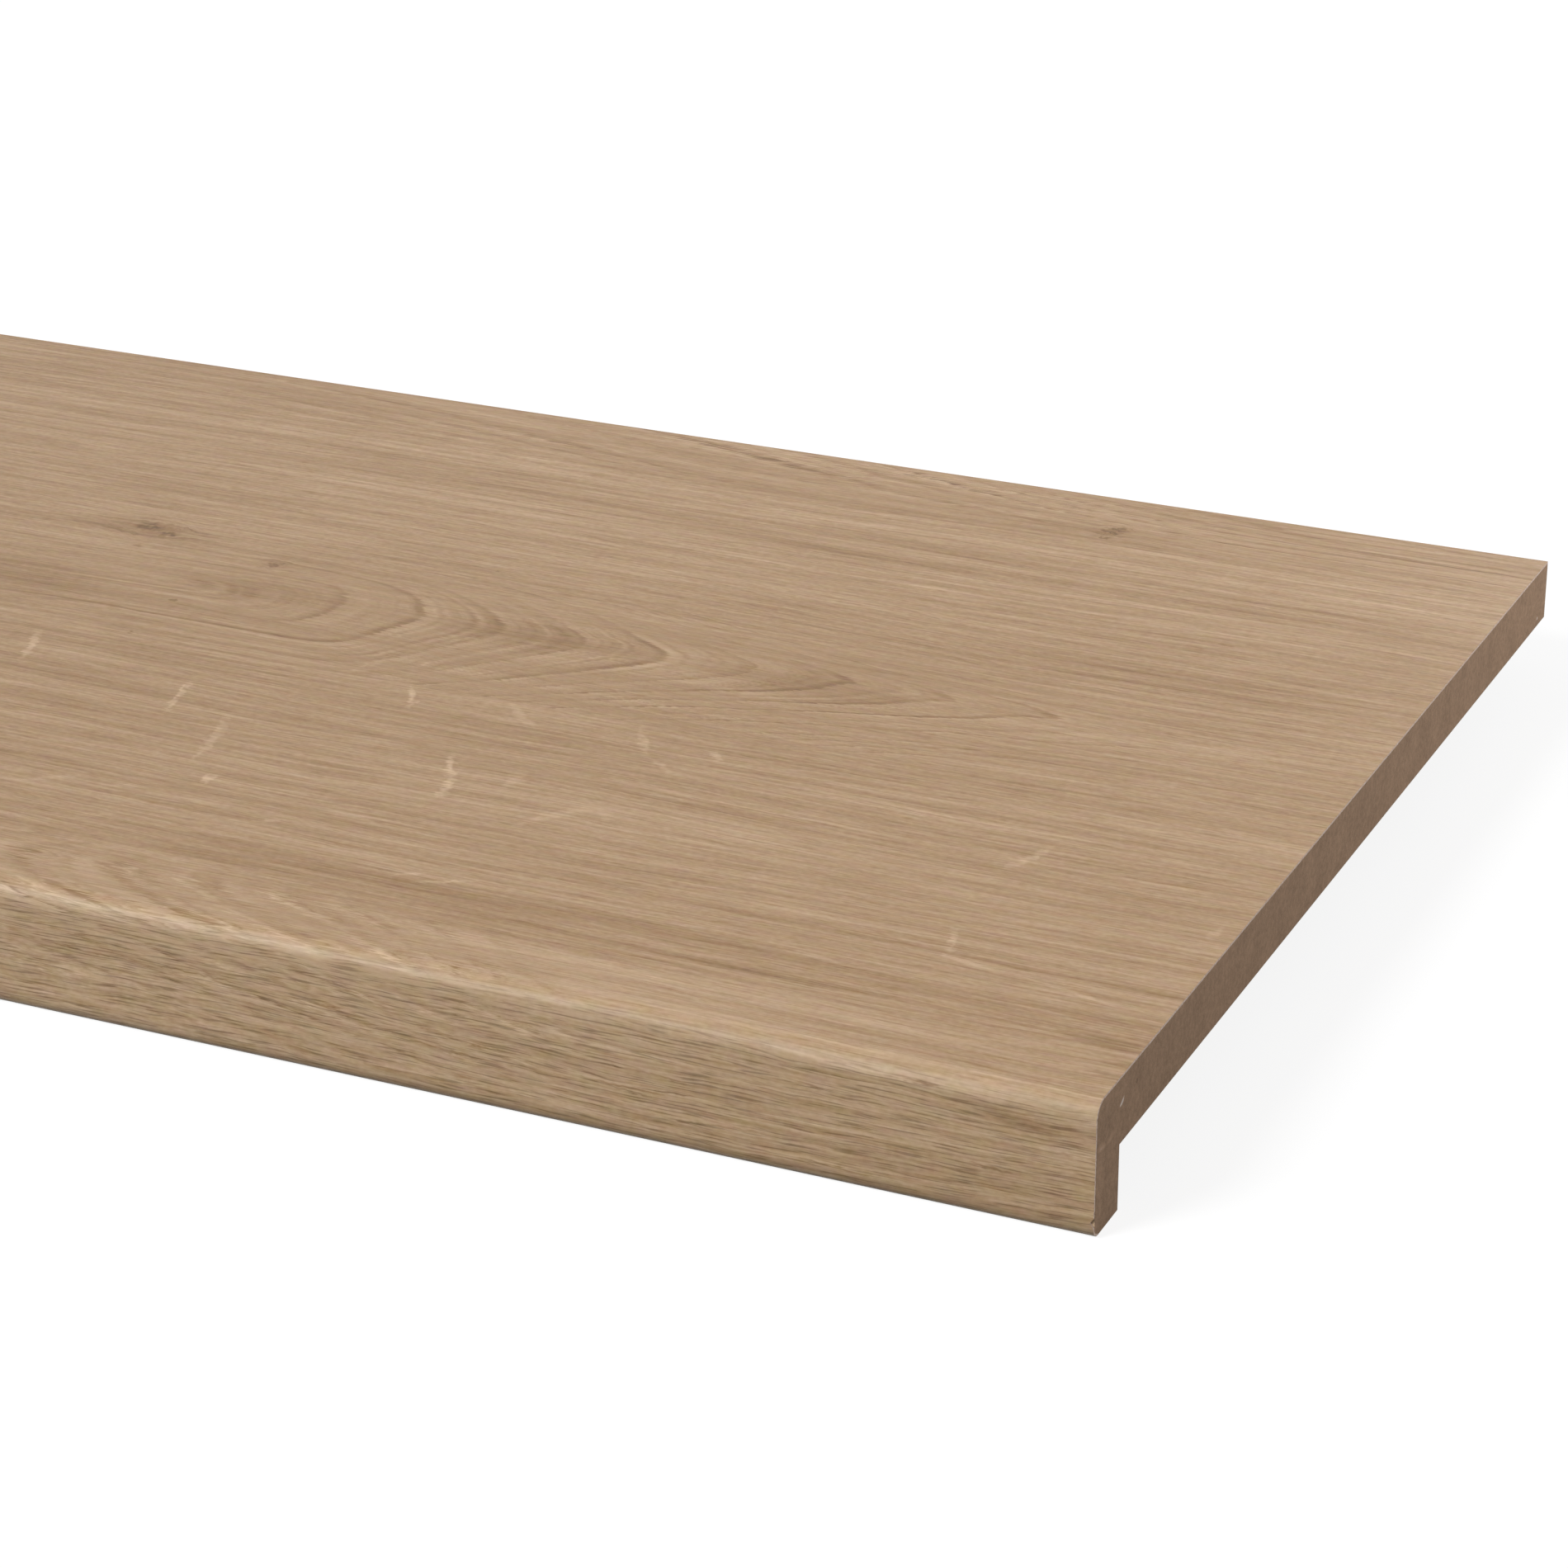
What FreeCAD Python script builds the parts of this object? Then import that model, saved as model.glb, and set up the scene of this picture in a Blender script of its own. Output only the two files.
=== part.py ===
"""Window sill board with a dropped nose, in oak-print laminate over fibreboard.

The board is an 18 mm fibreboard panel. A fibreboard strip is glued under its
front edge, so that the front looks twice as thick and hooks over the wall.
One sheet of laminate is wrapped over both: it starts flush with the rear edge,
runs forward over the top, round the front edge, down the nose and round the
nose's lower edge, where it is trimmed off and lies let into the strip. Both
ends, the rear edge and the whole underside are bare fibreboard.

The frame: X runs along the board, Y from the nose to the rear edge, Z up. The
origin is under the middle of the board, level with the foot of the nose. All
sizes are in millimetres.
"""

import os

import FreeCAD
import Part

# Driving sizes of the whole board, over the laminate
board_length = 2020.0
board_depth = 400.0

# The two fibreboard pieces
panel_thickness = 18.0
strip_height = 18.0
strip_thickness = 16.0

# The laminate, and the two radii that it is bent round, measured outside
laminate_thickness = 0.6
top_edge_radius = 5.0
lower_edge_radius = 3.0

# Places across the board, from the nose to the rear edge
y_front = -board_depth / 2
y_rear = board_depth / 2
y_core = y_front + laminate_thickness
y_strip_back = y_core + strip_thickness
y_top_bend = y_front + top_edge_radius
y_lower_bend = y_front + lower_edge_radius

# Heights, from the foot of the nose
z_foot = 0.0
z_lower_bend = z_foot + lower_edge_radius
z_rebate = z_foot + laminate_thickness
z_joint = z_foot + strip_height
z_panel_top = z_joint + panel_thickness
z_top = z_panel_top + laminate_thickness
z_top_bend = z_top - top_edge_radius

# The fibreboard under each bend has a smaller radius, by the laminate
top_core_radius = top_edge_radius - laminate_thickness
lower_core_radius = lower_edge_radius - laminate_thickness

# How far round its circle the middle of each quarter bend lies
half_way = 0.5**0.5


def point(y, z):
    """A point of the section, at the board's left end."""
    return FreeCAD.Vector(-board_length / 2, y, z)


def line(start, end):
    return Part.LineSegment(start, end).toShape()


def top_bend(radius):
    """The quarter circle from the top to the front face, at the given radius."""
    start = point(y_top_bend, z_top_bend + radius)
    middle = point(y_top_bend - radius * half_way, z_top_bend + radius * half_way)
    end = point(y_top_bend - radius, z_top_bend)
    return Part.Arc(start, middle, end).toShape()


def lower_bend(radius):
    """The quarter circle from the front face to the foot, at the given radius."""
    start = point(y_lower_bend - radius, z_lower_bend)
    middle = point(y_lower_bend - radius * half_way, z_lower_bend - radius * half_way)
    end = point(y_lower_bend, z_lower_bend - radius)
    return Part.Arc(start, middle, end).toShape()


def along_the_board(edges):
    """The closed section that the edges make, run along the board's length."""
    section = Part.Face(Part.Wire(Part.__sortEdges__(edges)))
    return section.extrude(FreeCAD.Vector(board_length, 0, 0))


def mdf_panel():
    """The flat panel, with the front edge of its top rounded over. Its underside
    is two faces in one plane: the land that the strip is glued to, and behind it
    the seat that lies on the wall."""
    return along_the_board(
        [
            line(point(y_core, z_joint), point(y_strip_back, z_joint)),
            line(point(y_strip_back, z_joint), point(y_rear, z_joint)),
            line(point(y_rear, z_joint), point(y_rear, z_panel_top)),
            line(point(y_rear, z_panel_top), point(y_top_bend, z_panel_top)),
            top_bend(top_core_radius),
            line(point(y_core, z_top_bend), point(y_core, z_joint)),
        ]
    )


def nose_strip():
    """The strip glued under the panel. Its foot has a rebate as deep as the
    laminate, which the laminate's trimmed end fills."""
    return along_the_board(
        [
            line(point(y_core, z_joint), point(y_core, z_lower_bend)),
            lower_bend(lower_core_radius),
            line(point(y_lower_bend, z_rebate), point(y_lower_bend, z_foot)),
            line(point(y_lower_bend, z_foot), point(y_strip_back, z_foot)),
            line(point(y_strip_back, z_foot), point(y_strip_back, z_joint)),
            line(point(y_strip_back, z_joint), point(y_core, z_joint)),
        ]
    )


def decor_laminate():
    """The wrapped sheet, of one thickness from the rear edge to the foot."""
    return along_the_board(
        [
            line(point(y_rear, z_top), point(y_top_bend, z_top)),
            top_bend(top_edge_radius),
            line(point(y_front, z_top_bend), point(y_front, z_lower_bend)),
            lower_bend(lower_edge_radius),
            line(point(y_lower_bend, z_foot), point(y_lower_bend, z_rebate)),
            lower_bend(lower_core_radius),
            line(point(y_core, z_lower_bend), point(y_core, z_top_bend)),
            top_bend(top_core_radius),
            line(point(y_top_bend, z_panel_top), point(y_rear, z_panel_top)),
            line(point(y_rear, z_panel_top), point(y_rear, z_top)),
        ]
    )


os.makedirs("parts", exist_ok=True)
for make in (mdf_panel, nose_strip, decor_laminate):
    solid = make()
    solid.exportStep(f"parts/{make.__name__}.step")
    print(make.__name__, solid.isValid(), round(solid.Volume / 1e6, 4), "litres")
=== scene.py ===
import math

import bpy
from mathutils import Matrix, Vector


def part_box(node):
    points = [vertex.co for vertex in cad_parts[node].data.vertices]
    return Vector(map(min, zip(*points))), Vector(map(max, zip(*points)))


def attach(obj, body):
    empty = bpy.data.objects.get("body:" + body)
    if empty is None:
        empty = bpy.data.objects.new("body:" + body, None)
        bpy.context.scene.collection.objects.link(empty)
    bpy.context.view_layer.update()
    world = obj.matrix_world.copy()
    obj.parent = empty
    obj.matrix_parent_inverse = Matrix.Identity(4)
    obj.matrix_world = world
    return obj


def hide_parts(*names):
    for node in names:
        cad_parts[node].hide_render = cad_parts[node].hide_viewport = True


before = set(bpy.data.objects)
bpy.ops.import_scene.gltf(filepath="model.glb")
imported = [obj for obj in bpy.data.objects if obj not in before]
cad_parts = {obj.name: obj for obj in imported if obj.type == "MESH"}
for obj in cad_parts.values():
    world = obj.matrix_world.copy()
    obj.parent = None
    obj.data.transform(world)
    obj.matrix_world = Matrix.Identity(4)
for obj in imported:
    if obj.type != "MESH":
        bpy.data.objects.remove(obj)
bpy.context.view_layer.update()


# The camera. It stands in front of the board's right-hand end, a little above it, and
# looks along the board to the left. A long lens keeps the far edge nearly as long as
# the near one. The place, angles and lens come from a fit to the photograph's outline.
camera_place = (1.3189, -1.0551, 0.5145)
camera_lens = 99.2
camera_turn = math.radians(24.52)
camera_tilt = math.radians(90 - 23.54)
camera_roll = math.radians(-0.16)

camera_data = bpy.data.cameras.new("camera")
camera_data.lens = camera_lens
camera_data.sensor_width = 36
camera = bpy.data.objects.new("camera", camera_data)
camera.matrix_world = (
    Matrix.Translation(camera_place)
    @ Matrix.Rotation(camera_turn, 4, "Z")
    @ Matrix.Rotation(camera_tilt, 4, "X")
    @ Matrix.Rotation(camera_roll, 4, "Z")
)
bpy.context.scene.collection.objects.link(camera)
bpy.context.scene.camera = camera
bpy.context.scene.view_settings.view_transform = "Standard"


# The fibreboard: an 18 mm panel, and a strip glued under its front edge. Both are MDF,
# wood fibres pressed with resin. The ends are sawn, so they show torn fibres and
# darker resin, and the faces are sanded. The CAD solids have the right shape.
mm = 0.001
sheet_low, sheet_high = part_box("decor_laminate")
half_length = sheet_high[0]
end_skin = 0.02 * mm
fibre_relief = 0.25 * mm


def linear(hex_colour):
    """A colour's sRGB hex value, in the linear light that shaders use."""
    parts = [int(hex_colour[i : i + 2], 16) / 255 for i in (1, 3, 5)]
    return [p / 12.92 if p <= 0.04045 else ((p + 0.055) / 1.055) ** 2.4 for p in parts] + [1]


def add(tree, kind, inputs=None, **settings):
    """Adds a node with its settings. An input takes a value, an output or a node."""
    made = tree.nodes.new(kind)
    for name, value in settings.items():
        setattr(made, name, value)
    for name, source in (inputs or {}).items():
        if isinstance(source, bpy.types.Node):
            source = source.outputs[0]
        if isinstance(source, bpy.types.NodeSocket):
            tree.links.new(source, made.inputs[name])
        else:
            made.inputs[name].default_value = source
    return made


def soft_stroke():
    """A short curved line, soft at its sides and its ends. Place is two lengths and 1,
    so that Along and Across turn it into the line's own two directions."""
    tree = bpy.data.node_groups.new("soft_stroke", "ShaderNodeTree")
    for name in ("Place", "Along", "Across"):
        tree.interface.new_socket(name, in_out="INPUT", socket_type="NodeSocketVector")
    for name in ("Bend", "Steps", "Tone"):
        tree.interface.new_socket(name, in_out="INPUT", socket_type="NodeSocketFloat")
    tree.interface.new_socket("Tone", in_out="OUTPUT", socket_type="NodeSocketFloat")
    given = add(tree, "NodeGroupInput").outputs
    place = given["Place"]
    ahead = add(tree, "ShaderNodeVectorMath", {0: place, 1: given["Along"]}, operation="DOT_PRODUCT")
    aside = add(tree, "ShaderNodeVectorMath", {0: place, 1: given["Across"]}, operation="DOT_PRODUCT")
    ahead = ahead.outputs["Value"]
    aside = aside.outputs["Value"]
    square = add(tree, "ShaderNodeMath", {0: ahead, 1: ahead}, operation="MULTIPLY")
    aside = add(tree, "ShaderNodeMath", {0: square, 1: given["Bend"], 2: aside}, operation="MULTIPLY_ADD")
    away = add(tree, "ShaderNodeMath", {0: aside, 1: aside, 2: square}, operation="MULTIPLY_ADD")
    inside = add(tree, "ShaderNodeMath", {0: 1, 1: away}, operation="SUBTRACT", use_clamp=True)
    toned = add(
        tree, "ShaderNodeMath", {0: inside, 1: given["Steps"], 2: given["Tone"]},
        operation="MULTIPLY_ADD",
    )
    add(tree, "NodeGroupOutput", {0: toned})
    return tree


stroke_tree = soft_stroke()


def draw_strokes(tree, place, tone, strokes):
    """Draws each stroke: how much it changes the tone, its width, its two ends, and how
    far its middle bends to the left of the way from one end to the other."""
    for steps, width, start, end, bend in strokes:
        half = math.dist(start, end) / 2
        way = ((end[0] - start[0]) / 2 / half, (end[1] - start[1]) / 2 / half)
        left = (-way[1], way[0])
        middle = ((start[0] + end[0]) / 2, (start[1] + end[1]) / 2)
        along = (way[0] / half, way[1] / half, -(middle[0] * way[0] + middle[1] * way[1]) / half)
        off = middle[0] * left[0] + middle[1] * left[1] + bend
        across = (left[0] / width, left[1] / width, -off / width)
        tone = add(
            tree, "ShaderNodeGroup",
            {0: place, 1: along, 2: across, 3: bend / width, 4: steps, 5: tone},
            node_tree=stroke_tree,
        )
    return tone


# Marks on the right-hand end, in millimetres behind the nose's front and below the top:
# a smear of glue near the joint, in two strokes, a pale strip down the nose, a nick, a
# dark speck and a nick at the rear. Each is how far it lightens, its width, its two ends
# and its bend
end_marks = (
    (0.3, 1.4, (0.8, -12.8), (7.2, -14.2), 0.3),
    (0.2, 1.1, (6, -14), (14, -12.7), -0.3),
    (0.12, 3, (4, -12), (3.5, -33), 0),
    (0.75, 0.7, (15.6, -8.1), (19.2, -6.2), -0.5),
    (-0.7, 0.7, (27.1, -6.6), (28.5, -6.6), 0),
    (0.6, 0.7, (390.4, -16.4), (392.2, -16), 0.2),
)


def sawn_and_sanded_mdf():
    """Raw MDF. It is matt, and its colour is mottled by fibres a millimetre or two long.
    The saw leaves the ends darker and rougher than the sanded faces."""
    material = bpy.data.materials.new("sawn_and_sanded_mdf")
    material.use_nodes = True
    tree = material.node_tree
    tree.nodes.clear()
    place = add(tree, "ShaderNodeTexCoord").outputs["Object"]
    apart = add(tree, "ShaderNodeSeparateXYZ", {0: place})
    from_middle = add(tree, "ShaderNodeMath", {0: apart.outputs["X"]}, operation="ABSOLUTE")
    end_start = half_length - end_skin
    sawn = add(tree, "ShaderNodeMath", {0: from_middle, 1: end_start}, operation="GREATER_THAN")

    # Clumps of fibre about 1.6 mm across, single fibres of 0.4 mm and soft clouds of
    # 11 mm: how many there are to a millimetre, their roughness and their strength
    mottle = -0.1
    for per_mm, roughness, strength in ((0.62, 0.6, 0.5), (2.3, 0.7, 0.4), (0.09, 0.5, 0.3)):
        fibres = add(
            tree, "ShaderNodeTexNoise",
            {"Vector": place, "Scale": per_mm / mm, "Detail": 2, "Roughness": roughness},
        )
        mottle = add(
            tree, "ShaderNodeMath", {0: fibres, 1: strength, 2: mottle}, operation="MULTIPLY_ADD"
        )

    # The marks' places, from the top of the nose's front, on the right-hand end only
    corner = (sheet_low[0], sheet_low[1], sheet_high[2])
    on_end = add(tree, "ShaderNodeVectorMath", {0: place, 1: corner}, operation="SUBTRACT")
    on_end = add(tree, "ShaderNodeSeparateXYZ", {0: on_end})
    behind = add(tree, "ShaderNodeMath", {0: on_end.outputs["Y"], 1: 1 / mm}, operation="MULTIPLY")
    above = add(tree, "ShaderNodeMath", {0: on_end.outputs["Z"], 1: 1 / mm}, operation="MULTIPLY")
    on_end = add(tree, "ShaderNodeCombineXYZ", {0: behind, 1: above, 2: 1})
    marks = draw_strokes(tree, on_end, 0, end_marks)
    right = add(tree, "ShaderNodeMath", {0: apart.outputs["X"], 1: 0}, operation="GREATER_THAN")
    marked = add(tree, "ShaderNodeMath", {0: marks, 1: right, 2: mottle}, operation="MULTIPLY_ADD")

    # The sawn ends are darker, and the faces are sanded smooth and pale
    ends = add(tree, "ShaderNodeValToRGB", {0: marked})
    ends.color_ramp.elements[0].position = 0.25
    ends.color_ramp.elements[0].color = linear("#91755D")
    ends.color_ramp.elements[1].position = 0.75
    ends.color_ramp.elements[1].color = linear("#C9A587")
    ends.color_ramp.elements.new(1).color = linear("#F2E2D6")
    faces = add(tree, "ShaderNodeValToRGB", {0: mottle})
    faces.color_ramp.elements[0].position = 0.1
    faces.color_ramp.elements[0].color = linear("#AD9376")
    faces.color_ramp.elements[1].position = 0.9
    faces.color_ramp.elements[1].color = linear("#C8B092")
    colour = add(
        tree, "ShaderNodeMix", {0: sawn, 6: faces.outputs[0], 7: ends.outputs[0]}, data_type="RGBA"
    )
    relief = add(
        tree, "ShaderNodeBump", {"Height": mottle, "Strength": 0.5, "Distance": fibre_relief}
    )
    surface = add(
        tree, "ShaderNodeBsdfPrincipled",
        {"Base Color": colour.outputs[2], "Roughness": 0.9, "Specular IOR Level": 0.3, "Normal": relief},
    )
    add(tree, "ShaderNodeOutputMaterial", {"Surface": surface})
    return material


mdf = sawn_and_sanded_mdf()
for piece_name in ("mdf_panel", "nose_strip"):
    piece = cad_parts[piece_name]
    piece.data.materials.clear()
    piece.data.materials.append(mdf)


# The laminate: one sheet, 0.6 mm thick, wrapped over both fibreboard pieces. Printed
# decor paper over kraft paper and resin is pressed flat, then glued down and bent warm
# round the nose. It is made here as it is there: first a flat sheet, then the bends.
sheet_thickness = 0.6 * mm
top_bend = 5 * mm
lower_bend = 3 * mm
bend_steps = 24
sheet_rows = 640
sharp_from = math.radians(40)
end_strip = 1.2 * mm
saw_chip_depth = 0.15 * mm
saw_chip_width = 1.6 * mm
corner_chip_depth = 1.1 * mm
corner_chip_width = 1.3 * mm
corner_chip_place = 6.3 * mm
weld_gap = 0.005 * mm


def wrapped_sheet():
    """Geometry Nodes: a flat grid is laid along a path with round bends and then given
    its thickness. The path runs from the foot of the nose to the rear edge."""
    tree = bpy.data.node_groups.new("wrapped_sheet", "GeometryNodeTree")
    tree.interface.new_socket("Path", in_out="INPUT", socket_type="NodeSocketGeometry")
    for name in (
        "Length", "Thickness", "Top bend", "Lower bend", "End strip", "Chip depth", "Chip width",
        "Corner chip depth", "Corner chip width", "Corner chip place",
    ):
        tree.interface.new_socket(name, in_out="INPUT", socket_type="NodeSocketFloat")
    for name in ("Bend steps", "Rows"):
        tree.interface.new_socket(name, in_out="INPUT", socket_type="NodeSocketInt")
    tree.interface.new_socket("Cut edge", in_out="INPUT", socket_type="NodeSocketMaterial")
    tree.interface.new_socket("Sheet", in_out="OUTPUT", socket_type="NodeSocketGeometry")
    given = add(tree, "NodeGroupInput").outputs

    # The path's second point is the nose's lower edge, and its third the upper one
    corners = add(tree, "GeometryNodeMeshToCurve", {0: given["Path"]})
    number = add(tree, "GeometryNodeInputIndex")
    lower = add(tree, "FunctionNodeCompare", {2: number, 3: 1}, data_type="INT", operation="EQUAL")
    radius = add(
        tree, "GeometryNodeSwitch", {0: lower, 1: given["Top bend"], 2: given["Lower bend"]},
        input_type="FLOAT",
    )
    path = add(
        tree, "GeometryNodeFilletCurve",
        {"Curve": corners, "Radius": radius, "Count": given["Bend steps"]}, mode="POLY",
    )
    width = add(tree, "GeometryNodeCurveLength", {0: path})

    # Five columns: both ends, the middle, and one close to each end for the saw's chips
    flat = add(
        tree, "GeometryNodeMeshGrid",
        {"Size X": 1, "Size Y": width, "Vertices X": 5, "Vertices Y": given["Rows"]},
    )
    across = add(tree, "ShaderNodeSeparateXYZ", {0: flat.outputs["UV Map"]})
    side = add(tree, "ShaderNodeMath", {0: across.outputs["X"], 1: 0.5}, operation="SUBTRACT")
    hand = add(tree, "ShaderNodeMath", {0: side}, operation="SIGN")
    reach = add(tree, "ShaderNodeMath", {0: side}, operation="ABSOLUTE")
    between = add(
        tree, "FunctionNodeCompare", {0: reach, 1: 0.25, "Epsilon": 0.1}, data_type="FLOAT",
        operation="EQUAL",
    )
    half = add(tree, "ShaderNodeMath", {0: given["Length"], 1: 0.5}, operation="MULTIPLY")
    inset = add(tree, "ShaderNodeMath", {0: half, 1: given["End strip"]}, operation="SUBTRACT")
    even = add(tree, "ShaderNodeMath", {0: given["Length"], 1: reach}, operation="MULTIPLY")
    out = add(tree, "GeometryNodeSwitch", {0: between, 1: even, 2: inset}, input_type="FLOAT")

    # The saw chips the sheet's ends in places, and has broken a corner off the right one
    run = add(tree, "ShaderNodeMath", {0: across.outputs["Y"], 1: width}, operation="MULTIPLY")
    chip_step = add(tree, "ShaderNodeMath", {0: run, 1: given["Chip width"]}, operation="DIVIDE")
    chip_place = add(tree, "ShaderNodeCombineXYZ", {0: hand, 1: chip_step})
    chip_noise = add(tree, "ShaderNodeTexNoise", {"Vector": chip_place, "Scale": 1, "Detail": 2})
    chipped = add(
        tree, "ShaderNodeMapRange", {0: chip_noise, 1: 0.5, 2: 0.8, 3: 0, 4: given["Chip depth"]}
    )
    off_corner = add(
        tree, "ShaderNodeMath", {0: run, 1: given["Corner chip place"]}, operation="SUBTRACT"
    )
    off_corner = add(tree, "ShaderNodeMath", {0: off_corner}, operation="ABSOLUTE")
    corner_chip = add(
        tree, "ShaderNodeMapRange",
        {0: off_corner, 1: 0, 2: given["Corner chip width"], 3: given["Corner chip depth"], 4: 0},
    )
    right = add(tree, "ShaderNodeMath", {0: hand, 1: 0}, operation="GREATER_THAN")
    corner_chip = add(tree, "ShaderNodeMath", {0: corner_chip, 1: right}, operation="MULTIPLY")
    chip = add(tree, "ShaderNodeMath", {0: chipped, 1: corner_chip}, operation="MAXIMUM")
    at_end = add(tree, "ShaderNodeMath", {0: reach, 1: 0.49}, operation="GREATER_THAN")
    chip = add(tree, "ShaderNodeMath", {0: chip, 1: at_end}, operation="MULTIPLY")
    out = add(tree, "ShaderNodeMath", {0: out, 1: chip}, operation="SUBTRACT")
    along = add(tree, "ShaderNodeMath", {0: out, 1: hand}, operation="MULTIPLY")

    # The flat places are kept for the print, and the sheet is laid along the path
    sheet = flat
    for name, value in (("along", along), ("run", across.outputs["Y"])):
        sheet = add(
            tree, "GeometryNodeStoreNamedAttribute",
            {"Geometry": sheet, "Name": name, "Value": value}, data_type="FLOAT", domain="POINT",
        )
    kept_along = add(tree, "GeometryNodeInputNamedAttribute", {"Name": "along"}, data_type="FLOAT")
    kept_run = add(tree, "GeometryNodeInputNamedAttribute", {"Name": "run"}, data_type="FLOAT")
    on_path = add(tree, "GeometryNodeSampleCurve", {"Curves": path, "Factor": kept_run}, mode="FACTOR")
    shift = add(tree, "ShaderNodeCombineXYZ", {0: kept_along})
    sheet = add(
        tree, "GeometryNodeSetPosition",
        {"Geometry": sheet, "Position": on_path.outputs["Position"], "Offset": shift},
    )

    # The thickness goes inwards: the moved copy is the glued side and the cut edges
    thinner = add(tree, "ShaderNodeMath", {0: given["Thickness"], 1: -1}, operation="MULTIPLY")
    shell = add(
        tree, "GeometryNodeExtrudeMesh", {"Mesh": sheet, "Offset Scale": thinner, "Individual": False},
        mode="FACES",
    )
    glued = add(
        tree, "GeometryNodeStoreNamedAttribute",
        {"Geometry": shell, "Name": "depth", "Value": shell.outputs["Top"]},
        data_type="FLOAT", domain="POINT",
    )
    glued = add(tree, "GeometryNodeFlipFaces", {0: glued})
    printed = add(
        tree, "GeometryNodeStoreNamedAttribute", {"Geometry": sheet, "Name": "printed", "Value": True},
        data_type="BOOLEAN", domain="FACE",
    )
    both = add(tree, "GeometryNodeJoinGeometry", {0: glued})
    tree.links.new(printed.outputs[0], both.inputs[0])
    whole = add(tree, "GeometryNodeMergeByDistance", {"Geometry": both, "Distance": weld_gap})
    whole = add(tree, "GeometryNodeRealizeInstances", {0: whole})
    whole = add(tree, "GeometryNodeSetMaterial", {"Geometry": whole, "Material": given["Cut edge"]})
    add(tree, "NodeGroupOutput", {0: whole})
    return tree


# The print is drawn in millimetres on the flat sheet: x runs from the right-hand end,
# where it is 0, to the left, and y from the start of the top bend, where it is 0, to
# the rear. The bends and the nose have negative y.
print_band = 0.94
top_bend_arc = top_bend * math.pi / 2
lower_bend_arc = lower_bend * math.pi / 2
front_height = sheet_high[2] - sheet_low[2] - top_bend - lower_bend
below_bend = top_bend_arc + front_height + lower_bend_arc
sheet_width = below_bend + sheet_high[1] - sheet_low[1] - top_bend
board_length_in_mm = 2 * half_length / mm
sheet_width_in_mm = sheet_width / mm
below_bend_in_mm = below_bend / mm


def print_knot():
    """A knot, half as long again as it is high. The print comes in and goes out as a
    place and a darkness, x, y and z. The grain bends round the knot, out to six radii.
    The knot is a dark ring round a paler core, in a soft halo."""
    tree = bpy.data.node_groups.new("print_knot", "ShaderNodeTree")
    for name in ("Print", "Back to centre", "Fray"):
        tree.interface.new_socket(name, in_out="INPUT", socket_type="NodeSocketVector")
    tree.interface.new_socket("Per radius", in_out="INPUT", socket_type="NodeSocketFloat")
    tree.interface.new_socket("Print", in_out="OUTPUT", socket_type="NodeSocketVector")
    given = add(tree, "NodeGroupInput").outputs
    off = add(
        tree, "ShaderNodeVectorMath",
        {0: given["Print"], 1: (1, 1, 0), 2: given["Back to centre"]}, operation="MULTIPLY_ADD",
    )
    rough = add(tree, "ShaderNodeVectorMath", {0: off, 1: given["Fray"]}, operation="ADD")
    rounded = add(tree, "ShaderNodeVectorMath", {0: rough, 1: (0.7, 1, 0)}, operation="MULTIPLY")
    rounded = add(tree, "ShaderNodeVectorMath", {0: rounded}, operation="LENGTH")
    radii = add(
        tree, "ShaderNodeMath", {0: rounded.outputs["Value"], 1: given["Per radius"]},
        operation="MULTIPLY",
    )
    pull = add(
        tree, "ShaderNodeMapRange", {0: radii, 1: 0, 2: 6, 3: -0.7, 4: 0},
        interpolation_type="SMOOTHSTEP",
    )
    bend = add(tree, "ShaderNodeVectorMath", {0: off, 1: (0, 1, 0)}, operation="MULTIPLY")
    bent = add(
        tree, "ShaderNodeVectorMath", {0: bend, 1: pull, 2: given["Print"]}, operation="MULTIPLY_ADD"
    )
    core = add(tree, "ShaderNodeMapRange", {0: radii, 1: 0, 2: 0.7, 3: 0.1, 4: 0.8})
    middle = add(tree, "ShaderNodeMapRange", {0: radii, 1: 0.7, 2: 1.7, 3: 1, 4: 0})
    middle = add(tree, "ShaderNodeMath", {0: core, 1: middle}, operation="MULTIPLY")
    halo = add(tree, "ShaderNodeMapRange", {0: radii, 1: 0.5, 2: 4.5, 3: 0.25, 4: 0})
    dark = add(tree, "ShaderNodeMath", {0: middle, 1: halo}, operation="ADD")
    dark = add(tree, "ShaderNodeCombineXYZ", {2: dark})
    bent = add(tree, "ShaderNodeVectorMath", {0: bent, 1: dark}, operation="ADD")
    add(tree, "NodeGroupOutput", {0: bent})
    return tree


knot_tree = print_knot()


def read_off(tree, value, points):
    """A level read off given points, as off a graph with a smooth line through them."""
    points = sorted(points)
    low = points[0][0]
    reach = points[-1][0] - low
    base = min(level for _, level in points)
    rise = max(level for _, level in points) - base
    share = add(
        tree, "ShaderNodeMath", {0: value, 1: 1 / reach, 2: -low / reach}, operation="MULTIPLY_ADD"
    )
    graph = add(tree, "ShaderNodeFloatCurve", {"Value": share})
    curve = graph.mapping.curves[0]
    spots = [((place - low) / reach, (level - base) / rise) for place, level in points]
    curve.points[0].location = spots[0]
    curve.points[1].location = spots[-1]
    for spot in spots[1:-1]:
        curve.points.new(*spot)
    for spot in curve.points:
        spot.handle_type = "AUTO_CLAMPED"
    graph.mapping.update()
    return add(tree, "ShaderNodeMath", {0: graph, 1: rise, 2: base}, operation="MULTIPLY_ADD")


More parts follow.
